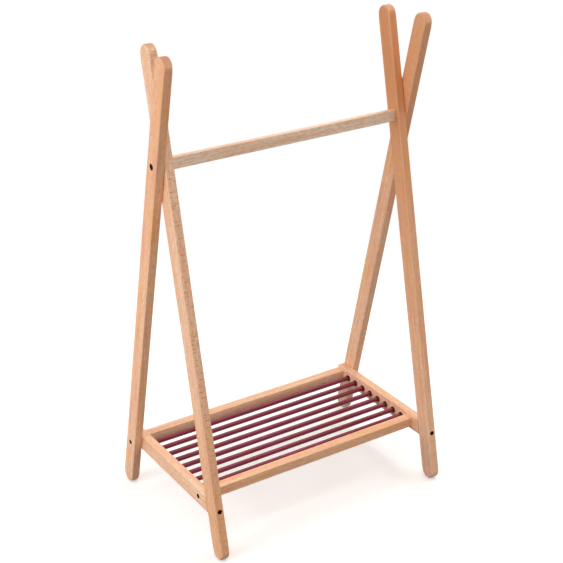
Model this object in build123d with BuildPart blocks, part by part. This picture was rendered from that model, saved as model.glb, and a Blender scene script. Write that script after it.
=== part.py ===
"""A beech clothes rack: two scissor-legged end frames, a hanging bar and a rod shelf.

X runs along the hanging bar, -Y is the front and +Z is up. The origin is on the floor
under the middle of the bar. Lengths are in millimetres.
"""

from build123d import *
from math import atan, cos, degrees, sin, tan
import os

# ---------------------------------------------------------------- driving dimensions

# End frames. The front legs are the inner ones; the back legs cross outside them.
inner_span = 600.0  # clear width between the two end frames
leg_length = 1181.0
leg_width = 41.0
leg_thickness = 22.0
leg_edge_radius = 3.0
leg_end_radius = 7.5  # rounding of a leg's ends across its thickness
leg_end_allowance = 0.3  # where that rounding starts, outside the flat faces
foot_spread = 412.5  # between the leg centre lines, at floor level
crossing_height = 905.0

# Hanging bar
bar_depth = 13.0
bar_height = 27.0
bar_edge_radius = 1.5

# Shelf frame. The side rails lie in the plane of the front legs, and the back rail is
# flush with their back ends.
shelf_top = 147.0
side_rail_height = 40.0
side_rail_edge_radius = 2.0
side_rail_end_setback = 2.5  # from the back leg's rear edge, at shelf_top
cross_rail_depth = 25.0
cross_rail_height = 25.0  # centred on the side rails' height, as the rods are
cross_rail_edge_radius = 2.0
front_rail_setback = 22.5  # from the front end of the side rails, at shelf_top

# Shelf rods
rod_count = 8
rod_radius = 6.0
rod_wall = 1.0
rod_back_offset = 23.5  # last rod's centre line to the back rail
rod_front_offset = 17.5  # first rod's centre line to the front rail
rod_end_play = 1.0  # between a rod's end and the bottom of its bore

# Rod sleeves, the bushes pressed into the side rails
sleeve_depth = 14.0
sleeve_wall = 2.0
sleeve_stand = 3.0  # proud of the side rail

# Fasteners
bolt_radius = 3.0
bolt_head_radius = 6.0
bolt_head_height = 4.0
bolt_recess = 6.0  # from the back leg's outer face to the seat
bolt_bite = 40.0  # in the hanging bar
bolt_key = 5.0
screw_radius = 2.5
screw_head_radius = 4.5
screw_head_height = 3.5
screw_recess = 6.0
screw_key = 4.0
leg_screw_recess = 8.0  # from the front leg's leaning front face to the seat
leg_screw_bite = 26.0  # in the end of the side rail
rail_screw_bite = 34.0  # in the end of a cross rail, also for a back leg's screw
key_depth = 2.5
pass_clearance = 0.25  # round a shank, in the piece that it clamps
head_clearance = 0.5  # round a head, in its counterbore
tip_length = 3.0
dowel_radius = 3.0
dowel_length = 30.0
rail_screw_inset = 10.0  # from the front rail's front face
rail_screw_rise = 2.0  # above the middle of the rails
dowel_spacing = 8.0  # behind the screw of the same joint

# --------------------------------------------------------------------- derived places

lean = atan(foot_spread / 2 / crossing_height)

inner_face = inner_span / 2  # front leg and side rail, towards the shelf
shared_face = inner_face + leg_thickness  # where the back leg lies on the other two
outer_face = shared_face + leg_thickness
front_leg_middle = inner_face + leg_thickness / 2
back_leg_middle = shared_face + leg_thickness / 2


def leg_centre(z):
    """Distance of a leg's centre line from the rack's middle plane, at height z."""
    return (crossing_height - z) * tan(lean)


def leg_half_depth():
    """Half of the leg's width, measured level instead of square to the leg."""
    return leg_width / 2 / cos(lean)


side_rail_bottom = shelf_top - side_rail_height
side_rail_middle = shelf_top - side_rail_height / 2
side_rail_front = leg_half_depth() - leg_centre(shelf_top)
side_rail_back = leg_centre(shelf_top) + leg_half_depth() - side_rail_end_setback

front_rail_front = side_rail_front + front_rail_setback
front_rail_back = front_rail_front + cross_rail_depth
back_rail_front = side_rail_back - cross_rail_depth

first_rod = front_rail_back + rod_front_offset
last_rod = back_rail_front - rod_back_offset
rod_pitch = (last_rod - first_rod) / (rod_count - 1)
rod_places = [first_rod + rod_pitch * i for i in range(rod_count)]
rod_half_length = inner_face + sleeve_depth - rod_end_play

sleeve_radius = rod_radius + sleeve_wall

rail_screw_y = front_rail_front + rail_screw_inset
rail_screw_z = side_rail_middle + rail_screw_rise
back_screw_y = leg_centre(side_rail_middle)
# In the ends of the front rail and of the back rail: a screw and the dowel behind it.
# The back rail's screw is the back leg's, which goes on through the side rail.
rail_fixings = {
    "front": (rail_screw_y, rail_screw_z, rail_screw_y + dowel_spacing),
    "back": (back_screw_y, side_rail_middle, back_screw_y + dowel_spacing),
}

leg_screw_seat = -leg_centre(side_rail_middle) - leg_half_depth() + leg_screw_recess
leg_screw_end = leg_half_depth() - leg_centre(side_rail_middle) + leg_screw_bite
leg_screw_length = leg_screw_end - leg_screw_seat
back_screw_length = 2 * leg_thickness - screw_recess + rail_screw_bite
rail_screw_length = leg_thickness - screw_recess + rail_screw_bite
bolt_length = 2 * leg_thickness - bolt_recess + bolt_bite

sides = {"left": -1, "right": 1}


# -------------------------------------------------------------------- repeated shapes


def outward(side, x, y, z):
    """A plane across X at (x, y, z) on one side, facing away from the shelf."""
    return Plane(origin=(side * x, y, z), x_dir=(0, 1, 0), z_dir=(side, 0, 0))


def inward(side, x, y, z):
    """A plane across X at (x, y, z) on one side, facing the shelf."""
    return Plane(origin=(side * x, y, z), x_dir=(0, 1, 0), z_dir=(-side, 0, 0))


def leg_blank(middle, tilt):
    """An undrilled leg; tilt is +1 with its foot in front and -1 with its foot behind."""
    up = Vector(0, tilt * sin(lean), cos(lean))
    across = Vector(0, cos(lean), -tilt * sin(lean))
    crossing = (middle, 0, crossing_height)
    foot_arc = (leg_width / 2 - crossing_height) / cos(lean)
    half_way = foot_arc + (leg_length - leg_width) / 2
    with BuildPart() as blank:
        with BuildSketch(Plane(origin=crossing, x_dir=up, z_dir=(1, 0, 0))):
            with Locations((half_way, 0)):
                SlotOverall(leg_length, leg_width)
        extrude(amount=leg_thickness / 2, both=True)
        fillet(blank.faces().filter_by(Axis.X).edges(), leg_edge_radius)
        with BuildSketch(Plane(origin=crossing, x_dir=up, z_dir=across)):
            with Locations((half_way, 0)):
                RectangleRounded(
                    leg_length + 2 * leg_end_allowance,
                    leg_thickness + 2 * leg_end_allowance,
                    leg_end_radius,
                )
        extrude(amount=leg_width, both=True, mode=Mode.INTERSECT)
    return blank.part


def fastener(seat, radius, length, head_radius, head_height, key):
    """A socket-headed fastener whose head stands on the seat plane."""
    axis = Axis(seat.origin, seat.z_dir)
    with BuildPart() as piece:
        with BuildSketch(seat):
            Circle(head_radius)
        extrude(amount=head_height)
        with BuildSketch(seat):
            Circle(radius)
        extrude(amount=-length)
        chamfer(piece.edges().sort_by(axis)[0], tip_length, radius * 0.7)
        with BuildSketch(seat.offset(head_height)):
            RegularPolygon(key / 2, 6, major_radius=False)
        extrude(amount=-key_depth, mode=Mode.SUBTRACT)
    return piece.part


def cross_bar(half_length, y, z, depth, height, radius):
    """A batten along X with eased long edges."""
    with BuildPart() as bar:
        with BuildSketch(Plane.YZ):
            with Locations((y, z)):
                RectangleRounded(depth, height, radius)
        extrude(amount=half_length, both=True)
    return bar.part


def rod_sleeve(side, y):
    """A bush that fills its bore in the side rail and stands a little proud of it."""
    with BuildPart() as sleeve:
        with BuildSketch(inward(side, inner_face - sleeve_stand, y, side_rail_middle)):
            Circle(sleeve_radius)
            Circle(rod_radius, mode=Mode.SUBTRACT)
        extrude(amount=-sleeve_depth - sleeve_stand)
    return sleeve.part


def dowel(side, y):
    """A pin, a third of it in the side rail and the rest in the cross rail."""
    with BuildPart() as pin:
        end = outward(side, inner_face + dowel_length / 3, y, side_rail_middle)
        with BuildSketch(end):
            Circle(dowel_radius)
        extrude(amount=-dowel_length)
    return pin.part


os.makedirs("parts", exist_ok=True)


def save(piece, label):
    """Name a finished piece and write its STEP file."""
    piece.part.label = label
    export_step(piece.part, f"parts/{label}.step")


# ------------------------------------------------------------------------- end frames

for name, side in sides.items():
    with BuildPart() as front_leg:
        add(leg_blank(side * front_leg_middle, 1))
        with Locations(outward(side, shared_face, 0, crossing_height)):
            Hole(bolt_radius + pass_clearance)
        front = -leg_centre(side_rail_middle) - leg_half_depth()
        with Locations(
            Plane(
                origin=(side * front_leg_middle, front, side_rail_middle),
                z_dir=(0, -1, 0),
            )
        ):
            CounterBoreHole(
                screw_radius + pass_clearance,
                screw_head_radius + head_clearance,
                leg_screw_recess,
            )
    save(front_leg, f"leg_front_{name}")

for name, side in sides.items():
    with BuildPart() as back_leg:
        add(leg_blank(side * back_leg_middle, -1))
        with Locations(outward(side, outer_face, 0, crossing_height)):
            CounterBoreHole(
                bolt_radius + pass_clearance,
                bolt_head_radius + head_clearance,
                bolt_recess,
            )
        low = outward(side, outer_face, back_screw_y, side_rail_middle)
        with Locations(low):
            CounterBoreHole(
                screw_radius + pass_clearance,
                screw_head_radius + head_clearance,
                screw_recess,
            )
    save(back_leg, f"leg_back_{name}")

# ------------------------------------------------------------------------ hanging bar

with BuildPart() as hanging_bar:
    add(
        cross_bar(
            inner_face, 0, crossing_height, bar_depth, bar_height, bar_edge_radius
        )
    )
    for side in sides.values():
        with Locations(outward(side, inner_face, 0, crossing_height)):
            Hole(bolt_radius, depth=bolt_bite)
save(hanging_bar, "hanging_bar")

# ------------------------------------------------------------------------ shelf frame

side_rail_toe = leg_half_depth() - leg_centre(side_rail_bottom)

for name, side in sides.items():
    with BuildPart() as side_rail:
        with BuildSketch(Plane.YZ.offset(side * front_leg_middle)):
            with BuildLine():
                Polyline(
                    (side_rail_front, shelf_top),
                    (side_rail_back, shelf_top),
                    (side_rail_back, side_rail_bottom),
                    (side_rail_toe, side_rail_bottom),
                    close=True,
                )
            make_face()
        extrude(amount=leg_thickness / 2, both=True)
        leg_joint = side_rail.faces().sort_by(Axis.Y)[0]
        eased = [e for e in side_rail.edges() if e not in leg_joint.edges()]
        fillet(eased, side_rail_edge_radius)

        for y in rod_places:
            with Locations(inward(side, inner_face, y, side_rail_middle)):
                Hole(sleeve_radius, depth=sleeve_depth)
        with Locations(outward(side, shared_face, rail_screw_y, rail_screw_z)):
            CounterBoreHole(
                screw_radius + pass_clearance,
                screw_head_radius + head_clearance,
                screw_recess,
            )
        with Locations(outward(side, shared_face, back_screw_y, side_rail_middle)):
            Hole(screw_radius + pass_clearance)
        for _, _, dowel_y in rail_fixings.values():
            with Locations(inward(side, inner_face, dowel_y, side_rail_middle)):
                Hole(dowel_radius, depth=dowel_length / 3)
        end_plane = Plane(
            origin=(
                side * front_leg_middle,
                leg_screw_end - leg_screw_bite,
                side_rail_middle,
            ),
            z_dir=(0, -1, 0),
        )
        with Locations(end_plane):
            Hole(screw_radius, depth=leg_screw_bite)
    save(side_rail, f"side_rail_{name}")

for name, face in (("front", front_rail_front), ("back", back_rail_front)):
    screw_y, screw_z, dowel_y = rail_fixings[name]
    with BuildPart() as cross_rail:
        add(
            cross_bar(
                inner_face,
                face + cross_rail_depth / 2,
                side_rail_middle,
                cross_rail_depth,
                cross_rail_height,
                cross_rail_edge_radius,
            )
        )
        for side in sides.values():
            with Locations(outward(side, inner_face, screw_y, screw_z)):
                Hole(screw_radius, depth=rail_screw_bite)
            with Locations(outward(side, inner_face, dowel_y, side_rail_middle)):
                Hole(dowel_radius, depth=dowel_length * 2 / 3)
    save(cross_rail, f"shelf_rail_{name}")

# ------------------------------------------------------------------------- shelf rods

for number, y in enumerate(rod_places, start=1):
    with BuildPart() as rod:
        with BuildSketch(Plane.YZ):
            with Locations((y, side_rail_middle)):
                Circle(rod_radius)
                Circle(rod_radius - rod_wall, mode=Mode.SUBTRACT)
        extrude(amount=rod_half_length, both=True)
    save(rod, f"shelf_rod_{number}")

for name, side in sides.items():
    with BuildPart() as sleeves:
        for y in rod_places:
            add(rod_sleeve(side, y))
    save(sleeves, f"rod_sleeves_{name}")

# -------------------------------------------------------------------------- fasteners

with BuildPart() as crossing_bolts:
    for side in sides.values():
        add(
            fastener(
                outward(side, outer_face - bolt_recess, 0, crossing_height),
                bolt_radius,
                bolt_length,
                bolt_head_radius,
                bolt_head_height,
                bolt_key,
            )
        )
save(crossing_bolts, "crossing_bolts")


def screw(seat, length):
    """One of the wood screws, which differ only in length."""
    return fastener(
        seat, screw_radius, length, screw_head_radius, screw_head_height, screw_key
    )


with BuildPart() as front_leg_screws:
    for side in sides.values():
        seat = Plane(
            origin=(side * front_leg_middle, leg_screw_seat, side_rail_middle),
            z_dir=(0, -1, 0),
        )
        add(screw(seat, leg_screw_length))
save(front_leg_screws, "front_leg_screws")

with BuildPart() as back_leg_screws:
    for side in sides.values():
        x = outer_face - screw_recess
        seat = outward(side, x, back_screw_y, side_rail_middle)
        add(screw(seat, back_screw_length))
save(back_leg_screws, "back_leg_screws")

with BuildPart() as shelf_rail_screws:
    for side in sides.values():
        seat = outward(side, shared_face - screw_recess, rail_screw_y, rail_screw_z)
        add(screw(seat, rail_screw_length))
save(shelf_rail_screws, "shelf_rail_screws")

with BuildPart() as shelf_rail_dowels:
    for side in sides.values():
        for _, _, dowel_y in rail_fixings.values():
            add(dowel(side, dowel_y))
save(shelf_rail_dowels, "shelf_rail_dowels")
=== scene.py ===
"""Dresses the beech clothes rack in its finishes and sets it up in a small studio."""

import math

import bpy
from bpy.props import FloatProperty, FloatVectorProperty, PointerProperty
from mathutils import Euler, Matrix, Vector


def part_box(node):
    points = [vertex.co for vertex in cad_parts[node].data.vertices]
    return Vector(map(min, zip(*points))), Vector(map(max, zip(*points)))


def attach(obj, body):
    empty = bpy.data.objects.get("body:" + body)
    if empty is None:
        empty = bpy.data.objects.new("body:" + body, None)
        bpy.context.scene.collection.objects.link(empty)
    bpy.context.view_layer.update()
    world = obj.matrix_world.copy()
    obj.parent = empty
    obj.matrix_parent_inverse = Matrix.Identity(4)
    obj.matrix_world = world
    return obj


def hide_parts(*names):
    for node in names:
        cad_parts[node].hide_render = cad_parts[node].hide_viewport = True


bl_info = {
    "name": "Clothes Rack Finisher",
    "version": (1, 0, 0),
    "blender": (4, 5, 0),
    "location": "3D View > Sidebar > Rack",
    "description": "Models and finishes the pieces of a beech clothes rack",
    "category": "Object",
}

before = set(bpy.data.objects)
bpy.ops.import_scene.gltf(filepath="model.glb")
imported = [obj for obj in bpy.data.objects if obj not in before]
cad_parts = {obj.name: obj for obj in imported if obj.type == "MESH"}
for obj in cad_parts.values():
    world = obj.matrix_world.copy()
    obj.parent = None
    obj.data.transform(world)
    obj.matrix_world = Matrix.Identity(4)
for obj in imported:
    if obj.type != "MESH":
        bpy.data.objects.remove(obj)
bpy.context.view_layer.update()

BODY = "root"
SIDES = ("left", "right")
RODS = [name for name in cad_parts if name.startswith("shelf_rod_")]
FASTENERS = (
    "crossing_bolts",
    "front_leg_screws",
    "back_leg_screws",
    "shelf_rail_screws",
)

SMOOTH_ANGLE = math.radians(32)  # edges sharper than this stay crisp
WELD = 1e-5  # points closer than this are one point
AT_END = 1e-4  # how near a point is to a block's end to count as on it
SQUARE_ON = 0.99  # how straight a face or an edge points along an axis
EDGE_STEPS = 4  # facets round the eased edge of a rail
LEG_EDGE_STEPS = 6  # facets round the eased edge of a leg and its rounded ends
JOINT_STEPS = 2  # facets round the small ease at a joint
END_SIDES = 64
HOLE_SIDES = 48
CUTTER_REACH = 0.004  # how far a cutter stands out of the face that it cuts

# ---------------------------------------------------------------------------- settings


def colour(name, description, default):
    """A colour setting."""
    return FloatVectorProperty(
        name=name,
        description=description,
        default=default,
        subtype="COLOR",
        min=0,
        max=1,
    )


def length(name, description, default):
    """A length setting, in metres."""
    return FloatProperty(
        name=name, description=description, default=default, unit="LENGTH", min=0
    )


def share(name, description, default):
    """A setting from 0 to 1."""
    return FloatProperty(
        name=name,
        description=description,
        default=default,
        subtype="FACTOR",
        min=0,
        max=1,
    )


class BattenSettings(bpy.types.PropertyGroup):
    leg_width: length("Leg width", "Broad face of a leg", 0.041)
    leg_edge: length("Leg edge", "Radius of a leg's long edges", 0.003)
    leg_nose: length("Leg nose", "Rounding of a leg's ends across its thickness", 0.0045)
    leg_blend: length("Leg blend", "Run of a leg's edge into its rounded end", 0.008)
    joint_edge: length("Joint edge", "Radius of a side rail's front end", 0.001)
    hole_depth: length("Hole depth", "Depth that the side holes are cut to", 0.006)
    seat_depth: length("Seat depth", "Depth of the front screws' seats", 0.008)
    head_height: length("Head height", "Height of a front screw's head", 0.0035)
    rail_edge: length("Rail edge", "Radius of the side rails' edges", 0.002)
    cross_edge: length("Cross rail edge", "Radius of the cross rails' edges", 0.002)
    bar_edge: length("Bar edge", "Radius of the hanging bar's edges", 0.0015)
    bolt_recess: length("Bolt recess", "Radius of the holes at the crossings", 0.0065)
    screw_recess: length("Screw recess", "Radius of the other fixing holes", 0.005)
    recess_lip: length("Recess lip", "Countersunk rim of a fixing hole", 0.001)


class BeechSettings(bpy.types.PropertyGroup):
    pale: colour("Pale", "Pale wood between the growth rings", (0.97, 0.65, 0.44))
    warm: colour("Warm", "Pinker wood in the broad patches", (0.94, 0.58, 0.36))
    late: colour("Late wood", "Growth rings and streaks", (0.86, 0.39, 0.19))
    gold: colour("Gold", "Yellower wood in some patches", (0.91, 0.53, 0.21))
    rose: colour("Rose", "Rosier wood in some patches", (0.88, 0.47, 0.33))
    blond: colour("Blond", "Palest wood, from near the bark", (0.99, 0.85, 0.70))
    fleck: colour("Fleck", "Short dark flecks and rays", (0.56, 0.24, 0.12))
    heart: colour("Heart", "Browner wood from nearer the heart", (0.71, 0.30, 0.12))
    ring_width: length("Ring width", "Distance between growth rings", 0.0055)
    pith: length("Pith", "Distance from a batten to the middle of its tree", 0.11)
    oil: share("Oil roughness", "Roughness of the oiled surface", 0.5)
    relief: length("Relief", "Depth of the grain under the oil", 0.00012)
    # Painted shade: the near-black put on the walls of the fixing holes.
    drilled: colour("Drilled", "Walls of the drilled holes", (0.06, 0.02, 0.012))
    # Painted highlight: the eased edges are painted paler where they catch the light.
    wear: share("Edge wear", "How far the eased edges are rubbed pale", 0.3)
    cut_end: colour("Cut ends", "The wood across its grain", (0.52, 0.23, 0.13))
    end_grain: share("End grain", "How much darker the cut ends are", 0.72)


class MetalSettings(bpy.types.PropertyGroup):
    coat: colour("Coat", "Powder coat of the shelf rods", (0.20, 0.009, 0.034))
    coat_roughness: share("Coat roughness", "Roughness of the powder coat", 0.28)
    sleeve: colour("Sleeve", "Plastic of the rod sleeves", (0.06, 0.007, 0.010))
    steel: colour("Steel", "Dark plating of the bolts and screws", (0.014, 0.009, 0.007))


class StudioSettings(bpy.types.PropertyGroup):
    azimuth: FloatProperty(
        name="Azimuth",
        description="Turn of the camera round the rack",
        default=math.radians(-32.62),
        subtype="ANGLE",
    )
    elevation: FloatProperty(
        name="Elevation",
        description="Height of the camera above the horizon",
        default=math.radians(26.95),
        subtype="ANGLE",
    )
    roll: FloatProperty(
        name="Roll",
        description="Turn of the camera about its line of sight",
        default=math.radians(-0.21),
        subtype="ANGLE",
    )
    camera_place: FloatVectorProperty(
        name="Camera place",
        description="Where the camera stands",
        default=(-1.5364, -2.2961, 1.8529),
        subtype="TRANSLATION",
        unit="LENGTH",
    )
    lens: FloatProperty(
        name="Lens", description="Focal length, in millimetres", default=82.57
    )
    shift: FloatVectorProperty(
        name="Shift",
        description="Sideways and upward shift of the lens",
        default=(0.034, 0.0678),
        size=2,
    )
    floor: colour("Floor", "The studio floor", (0.9, 0.9, 0.9))
    floor_lift: share("Floor lift", "White added to the floor that is seen", 0.3)
    key_power: FloatProperty(
        name="Key", description="Soft lamp on the left, in watts", default=24.0
    )
    top_power: FloatProperty(
        name="Top", description="Soft lamp overhead, in watts", default=9
    )
    back_power: FloatProperty(
        name="Back", description="Soft lamp at the back right, in watts", default=9
    )
    sky: FloatProperty(name="Sky", description="Even light all round", default=0.84)
    sky_tint: colour("Sky tint", "Colour of the even light", (1.0, 0.93, 0.86))


# --------------------------------------------------------------------- modelling tools


def deselect():
    """Leave nothing selected, in object mode."""
    bpy.ops.object.select_all(action="DESELECT")


def settle(piece):
    """Put a piece's place into its mesh."""
    deselect()
    piece.select_set(True)
    bpy.context.view_layer.objects.active = piece
    bpy.ops.object.transform_apply(location=True, rotation=True, scale=True)


def block(name, low, high):
    """Add a block between two corners."""
    low, high = Vector(low), Vector(high)
    deselect()
    bpy.ops.mesh.primitive_cube_add(size=1, location=(low + high) / 2)
    piece = bpy.context.object
    piece.name = piece.data.name = name
    piece.scale = high - low
    piece.data.materials.append(bpy.data.materials.new(f"{name}_board"))
    settle(piece)
    return piece


def pick(piece, kind, chosen):
    """In edit mode, select only the faces or edges of a piece that pass a test."""
    bpy.ops.mesh.select_all(action="DESELECT")
    bpy.ops.object.mode_set(mode="OBJECT")
    for item in getattr(piece.data, kind):
        item.select = chosen(item)
    bpy.ops.object.mode_set(mode="EDIT")


def edge_along(piece, axis):
    """A test for straight edges that run along one axis, 0 to 2."""

    def test(edge):
        a, b = (piece.data.vertices[i].co for i in edge.vertices)
        run = b - a
        return abs(run[axis]) > SQUARE_ON * run.length

    return test


def ease(piece, axis, radius, segments=EDGE_STEPS):
    """Round a block's edges along one axis."""
    bevel_picked(piece, edge_along(piece, axis), radius, segments)


def bevel_picked(piece, chosen, offset, segments):
    """Round the edges of a piece that pass a test."""
    bpy.ops.object.mode_set(mode="EDIT")
    bpy.ops.mesh.select_mode(type="EDGE")
    pick(piece, "edges", chosen)
    bpy.ops.mesh.bevel(offset=offset, segments=segments, affect="EDGES")
    bpy.ops.object.mode_set(mode="OBJECT")


def open_edges(piece):
    """The edges of a piece that only one face uses."""
    uses = {}
    for face in piece.data.polygons:
        for key in face.edge_keys:
            uses[key] = uses.get(key, 0) + 1
    return {key for key, count in uses.items() if count == 1}


def round_ends(name, straight, width, thickness, nose):
    """A disc with rounded rims, cut in two and pulled apart into a leg's two ends."""
    deselect()
    bpy.ops.mesh.primitive_cylinder_add(
        vertices=END_SIDES,
        radius=width / 2,
        depth=thickness,
        rotation=(0, math.pi / 2, 0),
    )
    disc = bpy.context.object
    disc.name = disc.data.name = name
    settle(disc)
    vertices = disc.data.vertices
    bevel_picked(
        disc,
        lambda edge: abs(sum(vertices[i].co.x for i in edge.vertices)) > thickness / 2,
        nose,
        LEG_EDGE_STEPS,
    )
    bpy.ops.object.mode_set(mode="EDIT")
    bpy.ops.mesh.select_all(action="SELECT")
    bpy.ops.mesh.bisect(plane_co=(0, 0, 0), plane_no=(0, 0, 1))
    bpy.ops.mesh.select_mode(type="FACE")
    pick(disc, "polygons", lambda face: face.center.z > 0)
    bpy.ops.mesh.split()
    bpy.ops.transform.translate(value=(0, 0, straight / 2))
    bpy.ops.mesh.select_all(action="INVERT")
    bpy.ops.transform.translate(value=(0, 0, -straight / 2))
    bpy.ops.object.mode_set(mode="OBJECT")
    return disc


def leg_batten(name, straight, sizes, thickness):
    """An upright leg with eased long edges that run out into two rounded ends."""
    half = Vector((thickness / 2, sizes.leg_width / 2, straight / 2 - sizes.leg_blend))
    piece = block(name, -half, half)
    ease(piece, 2, sizes.leg_edge, LEG_EDGE_STEPS)
    bpy.ops.object.mode_set(mode="EDIT")
    bpy.ops.mesh.select_mode(type="FACE")
    pick(piece, "polygons", lambda face: abs(face.normal.z) > SQUARE_ON)
    bpy.ops.mesh.delete(type="FACE")
    bpy.ops.object.mode_set(mode="OBJECT")
    ends = round_ends(
        f"{name}_ends", straight, sizes.leg_width, thickness, sizes.leg_nose
    )
    ends.data.materials.append(piece.data.materials[0])
    deselect()
    ends.select_set(True)
    piece.select_set(True)
    bpy.context.view_layer.objects.active = piece
    bpy.ops.object.join()
    for end in (1, -1):
        rims = open_edges(piece)
        vertices = piece.data.vertices
        bpy.ops.object.mode_set(mode="EDIT")
        bpy.ops.mesh.select_mode(type="EDGE")
        pick(
            piece,
            "edges",
            lambda edge: edge.key in rims and vertices[edge.vertices[0]].co.z * end > 0,
        )
        bpy.ops.mesh.bridge_edge_loops()
        bpy.ops.object.mode_set(mode="OBJECT")
    bpy.ops.object.mode_set(mode="EDIT")
    bpy.ops.mesh.select_all(action="SELECT")
    bpy.ops.mesh.normals_make_consistent(inside=False)
    bpy.ops.object.mode_set(mode="OBJECT")
    return piece


def shaded_hole_beech():
    """Wood inside a fixing hole, painted near-black as the shade that falls in it."""
    finish = bpy.context.scene.rack_beech
    material, tree, shader = new_material("beech_drilled")
    place = add_node(tree, "ShaderNodeTexCoord").outputs["Object"]
    rub = noise(tree, place, 1400, 2)
    tree.links.new(
        blend_colours(
            tree,
            ramp(tree, rub, [(0.3, 0.0), (0.7, 1.0)]),
            tuple(finish.drilled),
            tuple(c * 0.5 for c in finish.drilled),
        ),
        shader.inputs["Base Color"],
    )
    tree.links.new(
        ramp(tree, rub, [(0.3, 0.75), (0.7, 0.9)]), shader.inputs["Roughness"]
    )
    relief(tree, shader, rub, 0.4, 0.0001)
    shader.inputs["Specular IOR Level"].default_value = 0.1
    return material


def cutter(mouth, along, radius, lip, depth):
    """A round cutter from a point on a face inwards, flared a little at the face."""
    deselect()
    bpy.ops.mesh.primitive_cylinder_add(
        vertices=HOLE_SIDES, radius=radius, depth=depth, location=(0, 0, depth / 2 + lip)
    )
    tool = bpy.context.object
    # The hole's walls take this material, which paints the shade inside the hole.
    drilled = bpy.data.materials.get("beech_drilled") or shaded_hole_beech()
    tool.data.materials.append(drilled)
    bpy.ops.object.mode_set(mode="EDIT")
    bpy.ops.mesh.select_mode(type="FACE")
    pick(tool, "polygons", lambda face: face.normal.z < -SQUARE_ON)
    bpy.ops.mesh.extrude_region_move(TRANSFORM_OT_translate={"value": (0, 0, -lip)})
    wide = (radius + lip) / radius
    bpy.ops.transform.resize(value=(wide, wide, 1))
    bpy.ops.mesh.extrude_region_move(
        TRANSFORM_OT_translate={"value": (0, 0, -CUTTER_REACH)}
    )
    bpy.ops.object.mode_set(mode="OBJECT")
    settle(tool)
    turn = Vector((0, 0, 1)).rotation_difference(Vector(along))
    tool.matrix_world = Matrix.Translation(mouth) @ turn.to_matrix().to_4x4()
    settle(tool)
    return tool


def recess(piece, mouth, along, radius, depth):
    """Sink a round hole with a flared rim into a piece."""
    lip = bpy.context.scene.rack_battens.recess_lip
    tool = cutter(mouth, along, radius, lip, depth)
    change = piece.modifiers.new("Recess", "BOOLEAN")
    change.operation = "DIFFERENCE"
    change.solver = "EXACT"
    # The cut walls keep the cutter's material, the painted shade of the hole.
    change.material_mode = "TRANSFER"
    change.object = tool
    deselect()
    piece.select_set(True)
    bpy.context.view_layer.objects.active = piece
    bpy.ops.object.modifier_apply(modifier=change.name)
    bpy.ops.object.mode_set(mode="EDIT")
    bpy.ops.mesh.select_all(action="SELECT")
    bpy.ops.mesh.remove_doubles(threshold=WELD)
    bpy.ops.object.mode_set(mode="OBJECT")
    bpy.data.objects.remove(tool)


def finish_piece(piece, slot, material, *nodes):
    """Smooth a piece, dress it and let it stand for its CAD nodes."""
    deselect()
    piece.select_set(True)
    bpy.context.view_layer.objects.active = piece
    bpy.ops.object.shade_smooth_by_angle(angle=SMOOTH_ANGLE)
    normals = piece.modifiers.new("Flat faces", "WEIGHTED_NORMAL")
    normals.weight = 100
    normals.keep_sharp = True
    bpy.ops.object.modifier_apply(modifier=normals.name)
    piece.data.materials[0] = material
    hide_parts(*nodes)
    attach(piece, BODY)


def middle(node):
    """Centre of a CAD node's box."""
    low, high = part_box(node)
    return (low + high) / 2


# --------------------------------------------------------------------------- materials


def new_material(name):
    """An empty material, its node tree and its shader."""
    material = bpy.data.materials.new(name)
    material.use_nodes = True
    tree = material.node_tree
    shader = tree.nodes["Principled BSDF"]
    return material, tree, shader


def add_node(tree, kind, inputs=None, **settings):
    """Add a node, with its settings and the values or links of its inputs."""
    node = tree.nodes.new(kind)
    for key, value in settings.items():
        setattr(node, key, value)
    for key, value in (inputs or {}).items():
        if isinstance(value, bpy.types.NodeSocket):
            tree.links.new(value, node.inputs[key])
        else:
            node.inputs[key].default_value = value
    return node


def ramp(tree, factor, stops):
    """A colour ramp through (place, colour or grey) stops."""
    node = add_node(tree, "ShaderNodeValToRGB", {"Fac": factor})
    elements = node.color_ramp.elements
    while len(elements) < len(stops):
        elements.new(0.5)
    for element, (place, value) in zip(elements, stops):
        element.position = place
        shade = (value,) * 3 if isinstance(value, (int, float)) else value
        element.color = (*shade, 1)
    return node.outputs["Color"]


def blend_colours(tree, factor, a, b):
    """Mix two colours."""
    node = add_node(tree, "ShaderNodeMix", data_type="RGBA")
    for key, value in (("Factor_Float", factor), ("A_Color", a), ("B_Color", b)):
        socket = next(s for s in node.inputs if s.identifier == key)
        if isinstance(value, bpy.types.NodeSocket):
            tree.links.new(value, socket)
        elif key == "Factor_Float":
            socket.default_value = value
        else:
            socket.default_value = (*value, 1)
    return next(s for s in node.outputs if s.identifier == "Result_Color")


def noise(tree, vector, scale, detail=3, roughness=0.5):
    """Noise from 0 to 1."""
    return add_node(
        tree,
        "ShaderNodeTexNoise",
        {"Vector": vector, "Scale": scale, "Detail": detail, "Roughness": roughness},
    ).outputs["Fac"]


def scaled(tree, vector, x, y, z):
    """Coordinates with each axis scaled."""
    return add_node(
        tree, "ShaderNodeVectorMath", {0: vector, 1: (x, y, z)}, operation="MULTIPLY"
    ).outputs["Vector"]


def absolute(tree, value):
    """A value without its sign."""
    return add_node(
        tree, "ShaderNodeMath", {0: value}, operation="ABSOLUTE"
    ).outputs["Value"]


def largest(tree, a, b):
    """The larger of two values."""
    return add_node(
        tree, "ShaderNodeMath", {0: a, 1: b}, operation="MAXIMUM"
    ).outputs["Value"]


def product(tree, a, b):
    """Two values multiplied."""
    return add_node(
        tree, "ShaderNodeMath", {0: a, 1: b}, operation="MULTIPLY"
    ).outputs["Value"]


def relief(tree, shader, height, strength, depth):
    """Raise a surface a little by a pattern."""
    bump = add_node(
        tree,
        "ShaderNodeBump",
        {"Height": height, "Strength": strength, "Distance": depth},
    )
    tree.links.new(bump.outputs["Normal"], shader.inputs["Normal"])


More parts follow.
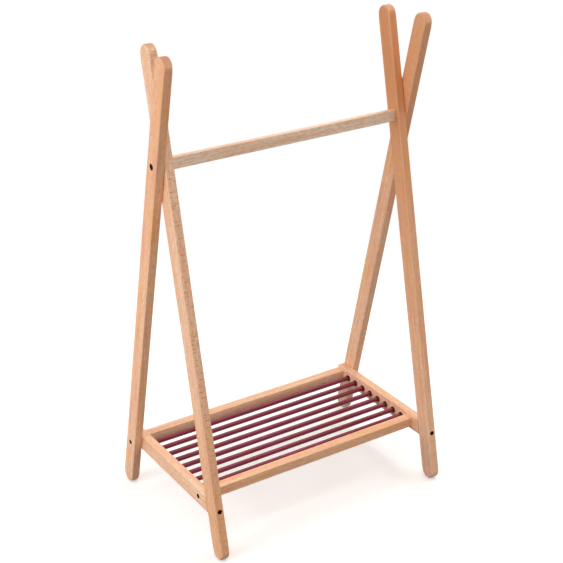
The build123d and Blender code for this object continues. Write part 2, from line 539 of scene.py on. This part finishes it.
def seen_directly(tree):
    """1 for what the camera, a reflection or a clear piece sees, and 0 for the rest."""
    path = add_node(tree, "ShaderNodeLightPath").outputs
    return largest(
        tree,
        largest(tree, path["Is Camera Ray"], path["Is Glossy Ray"]),
        path["Is Transmission Ray"],
    )


def eased_range(tree, value, source, target):
    """A value carried from one range to another with soft ends."""
    low, high = source
    node = add_node(
        tree,
        "ShaderNodeMapRange",
        {
            "Value": value,
            "From Min": low,
            "From Max": high,
            "To Min": target[0],
            "To Max": target[1],
        },
        interpolation_type="SMOOTHSTEP",
    )
    return node.outputs["Result"]


def beech(name, turn, span, radial, seed, tones=(0, 0, 0), figure=0.0):
    """Oiled beech cut from one board.

    turn brings the grain upright, and radial turns the board about its grain so that
    X runs across the growth rings and Y along them. tones say how much heartwood there
    is at the start, middle and end of the span along the grain; below 0 is blond wood.
    figure brings out the rays, which cross a face that is cut on the radius.
    """
    finish = bpy.context.scene.rack_beech
    material, tree, shader = new_material(name)
    coordinates = add_node(tree, "ShaderNodeTexCoord").outputs
    grain = add_node(
        tree,
        "ShaderNodeMapping",
        {
            "Vector": coordinates["Object"],
            "Rotation": (turn[0], turn[1], radial),
            "Location": (finish.pith, 0.013 * seed, 0.71 * seed),
        },
    ).outputs["Vector"]
    facing = add_node(
        tree,
        "ShaderNodeMapping",
        {"Vector": coordinates["Normal"], "Rotation": turn},
        vector_type="VECTOR",
    ).outputs["Vector"]
    upright = add_node(
        tree,
        "ShaderNodeMapping",
        {"Vector": coordinates["Object"], "Rotation": turn},
    ).outputs["Vector"]
    height = add_node(tree, "ShaderNodeSeparateXYZ", {"Vector": upright}).outputs["Z"]
    start, centre, stop = (span[0] + (span[1] - span[0]) * k for k in (0.03, 0.45, 0.87))
    lower = eased_range(tree, height, (start, centre), (tones[0], tones[1]))
    upper = eased_range(tree, height, (centre, stop), (0, tones[2] - tones[1]))
    heart = add_node(tree, "ShaderNodeMath", {0: lower, 1: upper}).outputs["Value"]

    drift = noise(tree, scaled(tree, grain, 22, 22, 3.0), 1.0, 2)
    tinge = noise(tree, scaled(tree, grain, 70, 70, 6.0), 1.0, 2)
    mottle = noise(tree, scaled(tree, grain, 380, 380, 75), 1.0, 2, 0.6)
    streak = noise(tree, scaled(tree, grain, 150, 70, 3.5), 1.0, 3, 0.55)
    fibre = noise(tree, scaled(tree, grain, 900, 900, 22), 1.0, 3, 0.6)
    rings = add_node(
        tree,
        "ShaderNodeTexWave",
        {
            "Vector": scaled(tree, grain, 1, 1, 0.04),
            "Scale": 0.314 / finish.ring_width,
            "Distortion": 4.5,
            "Detail": 2,
            "Detail Scale": 0.35,
        },
        wave_type="RINGS",
        rings_direction="Z",
        wave_profile="SAW",
    ).outputs["Fac"]
    rays = add_node(
        tree,
        "ShaderNodeTexVoronoi",
        {"Vector": scaled(tree, grain, 45, 700, 190), "Scale": 1.0},
    ).outputs["Distance"]

    pale, warm, late, deep = (
        tuple(c) for c in (finish.pale, finish.warm, finish.late, finish.heart)
    )
    gold, rose, blond, fleck = (
        tuple(c) for c in (finish.gold, finish.rose, finish.blond, finish.fleck)
    )
    wood = blend_colours(tree, ramp(tree, drift, [(0.35, 0.0), (0.65, 1.0)]), pale, warm)
    wood = blend_colours(tree, ramp(tree, tinge, [(0.54, 0.0), (0.66, 0.9)]), wood, gold)
    wood = blend_colours(tree, ramp(tree, tinge, [(0.34, 0.9), (0.46, 0.0)]), wood, rose)
    wood = blend_colours(tree, heart, wood, deep)
    wood = blend_colours(tree, product(tree, heart, -1), wood, blond)
    wood = blend_colours(
        tree, ramp(tree, mottle, [(0.36, 0.42), (0.56, 0.0)]), wood, fleck
    )
    wood = blend_colours(tree, ramp(tree, streak, [(0.44, 0.0), (0.72, 0.6)]), wood, late)
    wood = blend_colours(
        tree, ramp(tree, rings, [(0.45, 0.0), (0.9, 0.26), (1.0, 0.05)]), wood, late
    )
    wood = blend_colours(
        tree,
        ramp(tree, rays, [(0.12, 0.3 + 0.4 * figure), (0.3 + 0.12 * figure, 0.0)]),
        wood,
        fleck,
    )
    wood = blend_colours(
        tree, ramp(tree, fibre, [(0.3, 0.12), (0.6, 0.0)]), wood, late
    )
    axes = add_node(tree, "ShaderNodeSeparateXYZ", {"Vector": facing}).outputs
    across, along, end = (absolute(tree, axes[key]) for key in "XYZ")
    flatness = largest(tree, largest(tree, across, along), end)
    # Painted highlight: faces on the eased edges, found from the normal, are painted
    # paler where they catch the light.
    eased = ramp(tree, flatness, [(0.9, 1.0), (0.99, 0.0)])
    painted = product(tree, eased, ramp(tree, streak, [(0.3, 0.1), (0.7, finish.wear)]))
    wood = blend_colours(tree, painted, wood, tuple(min(1, c * 1.12) for c in pale))
    cut_end = ramp(tree, end, [(0.45, 0.0), (0.95, finish.end_grain)])
    wood = blend_colours(tree, cut_end, wood, tuple(finish.cut_end))
    tree.links.new(wood, shader.inputs["Base Color"])

    sheen = ramp(tree, fibre, [(0.3, finish.oil + 0.07), (0.7, finish.oil - 0.05)])
    tree.links.new(sheen, shader.inputs["Roughness"])
    relief(tree, shader, fibre, 0.6, finish.relief)
    shader.inputs["Specular IOR Level"].default_value = 0.32
    return material


def powder_coat():
    """Maroon powder coat: satin, with a fine orange-peel texture."""
    finish = bpy.context.scene.rack_metal
    material, tree, shader = new_material("maroon_powder_coat")
    place = add_node(tree, "ShaderNodeTexCoord").outputs["Object"]
    peel = noise(tree, place, 900, 2)
    cloud = noise(tree, place, 14, 2)
    base = tuple(finish.coat)
    worn = tuple(min(1, c * 1.35 + 0.004) for c in base)
    tree.links.new(
        blend_colours(tree, ramp(tree, cloud, [(0.35, 0.0), (0.7, 1.0)]), base, worn),
        shader.inputs["Base Color"],
    )
    tree.links.new(
        ramp(
            tree,
            peel,
            [(0.3, finish.coat_roughness - 0.05), (0.7, finish.coat_roughness + 0.05)],
        ),
        shader.inputs["Roughness"],
    )
    relief(tree, shader, peel, 0.25, 0.0002)
    shader.inputs["Specular IOR Level"].default_value = 0.36
    return material


def dark_plastic():
    """Near-black moulded plastic with a fine grain."""
    finish = bpy.context.scene.rack_metal
    material, tree, shader = new_material("sleeve_plastic_moulded")
    place = add_node(tree, "ShaderNodeTexCoord").outputs["Object"]
    grain = noise(tree, place, 1800, 2)
    base = tuple(finish.sleeve)
    scuffed = tuple(c * 1.8 + 0.002 for c in base)
    tree.links.new(
        blend_colours(tree, ramp(tree, grain, [(0.4, 0.0), (0.8, 1.0)]), base, scuffed),
        shader.inputs["Base Color"],
    )
    tree.links.new(
        ramp(tree, grain, [(0.3, 0.45), (0.7, 0.6)]), shader.inputs["Roughness"]
    )
    relief(tree, shader, grain, 0.3, 0.0001)
    shader.inputs["Specular IOR Level"].default_value = 0.15
    return material


def dark_steel():
    """Dark plated steel with brushed turning marks."""
    finish = bpy.context.scene.rack_metal
    material, tree, shader = new_material("fastener_steel_plated")
    place = add_node(tree, "ShaderNodeTexCoord").outputs["Object"]
    marks = noise(tree, place, 2500, 2)
    base = tuple(finish.steel)
    bright = tuple(c * 2.2 for c in base)
    tree.links.new(
        blend_colours(tree, ramp(tree, marks, [(0.3, 0.0), (0.8, 1.0)]), base, bright),
        shader.inputs["Base Color"],
    )
    tree.links.new(
        ramp(tree, marks, [(0.3, 0.3), (0.7, 0.5)]), shader.inputs["Roughness"]
    )
    relief(tree, shader, marks, 0.3, 0.00005)
    shader.inputs["Metallic"].default_value = 0.9
    return material


ALONG_X = (0, math.radians(-90), 0)
ALONG_Y = (math.radians(90), 0, 0)

# Each batten's board, as beech() takes it: radial, seed, tones and, on one, figure.
BOARDS = {
    "leg_front_left": (0.0, 1.7, (0.25, -0.4, -0.35), 1.0),
    "leg_front_right": (0.9, 3.4, (-0.4, 0.25, 0.95)),
    "leg_back_left": (1.2, 5.2, (-0.1, -0.05, 0.2)),
    "leg_back_right": (0.5, 7.1, (-0.25, -0.2, 0.6)),
    "hanging_bar": (1.4, 9.3, (-1.0, -1.0, -0.95)),
    "side_rail_left": (0.7, 12.1, (-0.35, -0.35, -0.35)),
    "side_rail_right": (1.0, 14.4, (-0.25, -0.25, -0.25)),
    "shelf_rail_front": (0.3, 17.9, (-0.05, -0.1, -0.1)),
    "shelf_rail_back": (1.1, 20.2, (-0.35, -0.35, -0.3)),
}


# --------------------------------------------------------------------------- operators


def leg_shape(node, width):
    """Length between the end arcs' centres and lean of a leg, from its CAD box."""
    low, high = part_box(node)
    rise, run = high.z - low.z - width, high.y - low.y - width
    return math.hypot(rise, run), math.atan2(run, rise)


def make_leg(row, side):
    """A leg with the fixing holes that show: two on a back leg, one on a front leg."""
    sizes = bpy.context.scene.rack_battens
    node = f"leg_{row}_{side}"
    low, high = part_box(node)
    thickness = high.x - low.x
    straight, lean = leg_shape(node, sizes.leg_width)
    tilt = -lean if row == "front" else lean
    piece = leg_batten(f"{node}_batten", straight, sizes, thickness)
    piece.rotation_euler = (tilt, 0, 0)
    piece.location = (low + high) / 2
    settle(piece)
    away = -1 if side == "left" else 1
    if row == "back":
        outer = low.x if side == "left" else high.x
        for screws, radius in (
            ("crossing_bolts", sizes.bolt_recess),
            ("back_leg_screws", sizes.screw_recess),
        ):
            place = middle(screws)
            mouth = (outer, place.y, place.z)
            recess(piece, mouth, (-away, 0, 0), radius, sizes.hole_depth)
    else:
        screw_low, screw_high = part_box("front_leg_screws")
        face = screw_low.y + sizes.head_height - sizes.seat_depth
        mouth = ((low.x + high.x) / 2, face, (screw_low.z + screw_high.z) / 2)
        recess(piece, mouth, (0, 1, 0), sizes.screw_recess, sizes.seat_depth)
    span = (low.z, high.z)
    material = beech(f"beech_leg_{row}_{side}", (-tilt, 0, 0), span, *BOARDS[node])
    finish_piece(piece, "beech", material, node)


class RACK_OT_legs(bpy.types.Operator):
    """Model the four legs and drill their fixing holes."""

    bl_idname = "rack.legs"
    bl_label = "Legs"

    def execute(self, context):
        for row in ("front", "back"):
            for side in SIDES:
                make_leg(row, side)
        return {"FINISHED"}


class RACK_OT_hanging_bar(bpy.types.Operator):
    """Model the hanging bar."""

    bl_idname = "rack.hanging_bar"
    bl_label = "Hanging bar"

    def execute(self, context):
        sizes = context.scene.rack_battens
        low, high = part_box("hanging_bar")
        piece = block("hanging_bar_batten", low, high)
        ease(piece, 0, sizes.bar_edge)
        span = (low.x, high.x)
        material = beech("beech_hanging_bar", ALONG_X, span, *BOARDS["hanging_bar"])
        finish_piece(piece, "beech", material, "hanging_bar")
        return {"FINISHED"}


class RACK_OT_side_rails(bpy.types.Operator):
    """Model the side rails, whose front ends follow the lean of the legs."""

    bl_idname = "rack.side_rails"
    bl_label = "Side rails"

    def execute(self, context):
        sizes = context.scene.rack_battens
        lean = leg_shape("leg_front_left", sizes.leg_width)[1]
        for side in SIDES:
            node = f"side_rail_{side}"
            low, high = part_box(node)
            piece = block(f"{node}_batten", low, high)
            rise = high.z - low.z
            slant = rise * math.tan(lean)
            bpy.ops.object.mode_set(mode="EDIT")
            bpy.ops.mesh.select_all(action="SELECT")
            bpy.ops.mesh.bisect(
                plane_co=low, plane_no=(0, -rise, slant), use_fill=True, clear_outer=True
            )
            bpy.ops.object.mode_set(mode="OBJECT")
            vertices = piece.data.vertices
            bevel_picked(
                piece,
                lambda edge: any(
                    vertices[i].co.y > high.y - AT_END for i in edge.vertices
                ),
                sizes.rail_edge,
                EDGE_STEPS,
            )
            front = min(piece.data.polygons, key=lambda face: face.normal.y)
            bevel_picked(
                piece,
                lambda edge: edge.key in front.edge_keys,
                sizes.joint_edge,
                JOINT_STEPS,
            )
            outer = low.x if side == "left" else high.x
            away = -1 if side == "left" else 1
            screw = middle("shelf_rail_screws")
            mouth = (outer, screw.y, screw.z)
            recess(piece, mouth, (-away, 0, 0), sizes.screw_recess, sizes.hole_depth)
            material = beech(f"beech_{node}", ALONG_Y, (low.y, high.y), *BOARDS[node])
            finish_piece(piece, "beech", material, node)
        return {"FINISHED"}


class RACK_OT_cross_rails(bpy.types.Operator):
    """Model the front and back rails of the shelf."""

    bl_idname = "rack.cross_rails"
    bl_label = "Cross rails"

    def execute(self, context):
        sizes = context.scene.rack_battens
        for row in ("front", "back"):
            node = f"shelf_rail_{row}"
            low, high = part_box(node)
            piece = block(f"{node}_batten", low, high)
            ease(piece, 0, sizes.cross_edge)
            material = beech(f"beech_{node}", ALONG_X, (low.x, high.x), *BOARDS[node])
            finish_piece(piece, "beech", material, node)
        return {"FINISHED"}


def dress(node, material):
    """Give a CAD node a finish."""
    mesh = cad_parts[node].data
    mesh.materials.clear()
    mesh.materials.append(material)


class RACK_OT_metalwork(bpy.types.Operator):
    """Finish the rods, their sleeves, the bolts and the screws."""

    bl_idname = "rack.metalwork"
    bl_label = "Rods and fasteners"

    def execute(self, context):
        coat, plastic, steel = powder_coat(), dark_plastic(), dark_steel()
        for node in RODS:
            dress(node, coat)
        for side in SIDES:
            dress(f"rod_sleeves_{side}", plastic)
        for node in FASTENERS:
            dress(node, steel)
        dress("shelf_rail_dowels", beech("beech_dowels", ALONG_X, (-1, 1), 0.4, 23.4))
        return {"FINISHED"}


AIM = (0, 0, 0.5)  # what the lamps point at
FLOOR_RADIUS = 9
FLOOR_DROP = 0.0002  # below the feet, so that floor and feet don't share a face
FLOOR_FADE = (0.7, 1.8)  # from the rack's middle: where the floor turns white
UNSEEN_FLOOR = (0.10, 0.10, 0.10)  # the floor's colour in the light that it throws up


def lamp(name, place, aim, size, power):
    """A square soft lamp."""
    light = bpy.data.lights.new(name, "AREA")
    light.shape = "SQUARE"
    light.size = size
    light.energy = power
    holder = bpy.data.objects.new(name, light)
    holder.location = place
    direction = Vector(aim) - Vector(place)
    holder.rotation_euler = direction.to_track_quat("-Z", "Y").to_euler()
    bpy.context.scene.collection.objects.link(holder)
    return holder


def floor_material(tint, lift):
    """A pale floor that fades to white away from the rack."""
    material, tree, shader = new_material("studio_floor")
    tree.nodes.remove(shader)
    place = add_node(tree, "ShaderNodeTexCoord").outputs["Object"]
    distance = add_node(
        tree, "ShaderNodeVectorMath", {0: place}, operation="LENGTH"
    ).outputs["Value"]
    fade = add_node(
        tree,
        "ShaderNodeMapRange",
        {"Value": distance, "From Min": FLOOR_FADE[0], "From Max": FLOOR_FADE[1]},
        interpolation_type="SMOOTHSTEP",
    ).outputs["Result"]
    seen = seen_directly(tree)
    tone = blend_colours(tree, seen, UNSEEN_FLOOR, tuple(tint))
    matt = add_node(tree, "ShaderNodeBsdfDiffuse", {"Color": tone}).outputs["BSDF"]
    glow = add_node(
        tree, "ShaderNodeEmission", {"Strength": product(tree, seen, lift)}
    ).outputs["Emission"]
    lit = add_node(tree, "ShaderNodeAddShader", {0: matt, 1: glow}).outputs["Shader"]
    white = add_node(tree, "ShaderNodeEmission", {"Strength": 1.0}).outputs["Emission"]
    mix = add_node(
        tree, "ShaderNodeMixShader", {0: product(tree, fade, seen), 1: lit, 2: white}
    )
    output = tree.nodes["Material Output"]
    tree.links.new(mix.outputs["Shader"], output.inputs["Surface"])
    return material


def white_world(strength, tint):
    """An even sky that the camera and reflections see as white."""
    world = bpy.data.worlds.new("studio")
    world.use_nodes = True
    tree = world.node_tree
    background = tree.nodes["Background"]
    seen = seen_directly(tree)
    level = add_node(
        tree,
        "ShaderNodeMapRange",
        {"Value": seen, "To Min": strength, "To Max": 1.0},
    ).outputs["Result"]
    tone = blend_colours(tree, seen, tuple(tint), (1, 1, 1))
    tree.links.new(tone, background.inputs["Color"])
    tree.links.new(level, background.inputs["Strength"])
    bpy.context.scene.world = world


class RACK_OT_studio(bpy.types.Operator):
    """Set up the floor, the lamps, the sky and the camera."""

    bl_idname = "rack.studio"
    bl_label = "Studio"

    def execute(self, context):
        scene = context.scene
        studio = scene.rack_studio
        deselect()
        bpy.ops.mesh.primitive_circle_add(
            vertices=96,
            radius=FLOOR_RADIUS,
            fill_type="NGON",
            location=(0, 0, -FLOOR_DROP),
        )
        floor = context.object
        floor.name = "studio_floor"
        floor.data.materials.append(floor_material(studio.floor, studio.floor_lift))
        lamp("lamp_left", (-2.5, 0.1, 1.0), AIM, 1.4, studio.key_power)
        lamp("lamp_top", (1.35, -0.45, 2.75), AIM, 0.9, studio.top_power)
        lamp("lamp_back", (1.5, 1.1, 2.4), AIM, 0.7, studio.back_power)
        white_world(studio.sky, studio.sky_tint)

        camera = bpy.data.cameras.new("camera")
        camera.lens = studio.lens
        camera.sensor_width = 36
        camera.shift_x, camera.shift_y = studio.shift
        camera.dof.use_dof = False
        holder = bpy.data.objects.new("camera", camera)
        turn = Euler((math.pi / 2 - studio.elevation, 0, studio.azimuth)).to_matrix()
        turn = turn @ Matrix.Rotation(studio.roll, 3, "Z")
        holder.matrix_world = Matrix.Translation(studio.camera_place) @ turn.to_4x4()
        scene.collection.objects.link(holder)
        scene.camera = holder
        scene.view_settings.view_transform = "Standard"
        return {"FINISHED"}


OPERATORS = (
    RACK_OT_legs,
    RACK_OT_hanging_bar,
    RACK_OT_side_rails,
    RACK_OT_cross_rails,
    RACK_OT_metalwork,
    RACK_OT_studio,
)
SETTINGS = {
    "rack_battens": BattenSettings,
    "rack_beech": BeechSettings,
    "rack_metal": MetalSettings,
    "rack_studio": StudioSettings,
}


class RACK_PT_panel(bpy.types.Panel):
    """The pieces of the rack and the settings of its finishes."""

    bl_idname = "RACK_PT_panel"
    bl_label = "Clothes rack"
    bl_space_type = "VIEW_3D"
    bl_region_type = "UI"
    bl_category = "Rack"

    def draw(self, context):
        for operator in OPERATORS:
            self.layout.operator(operator.bl_idname)
        for name, group in SETTINGS.items():
            box = self.layout.box()
            box.label(text=group.__name__)
            for key in group.__annotations__:
                box.prop(getattr(context.scene, name), key)


def register():
    for cls in (*SETTINGS.values(), *OPERATORS, RACK_PT_panel):
        bpy.utils.register_class(cls)
    for name, group in SETTINGS.items():
        setattr(bpy.types.Scene, name, PointerProperty(type=group))


def unregister():
    for name in SETTINGS:
        delattr(bpy.types.Scene, name)
    for cls in reversed((*SETTINGS.values(), *OPERATORS, RACK_PT_panel)):
        bpy.utils.unregister_class(cls)


def main():
    """Dress the whole rack and set up its studio."""
    register()
    bpy.ops.rack.legs()
    bpy.ops.rack.hanging_bar()
    bpy.ops.rack.side_rails()
    bpy.ops.rack.cross_rails()
    bpy.ops.rack.metalwork()
    bpy.ops.rack.studio()


if __name__ == "__main__":
    main()
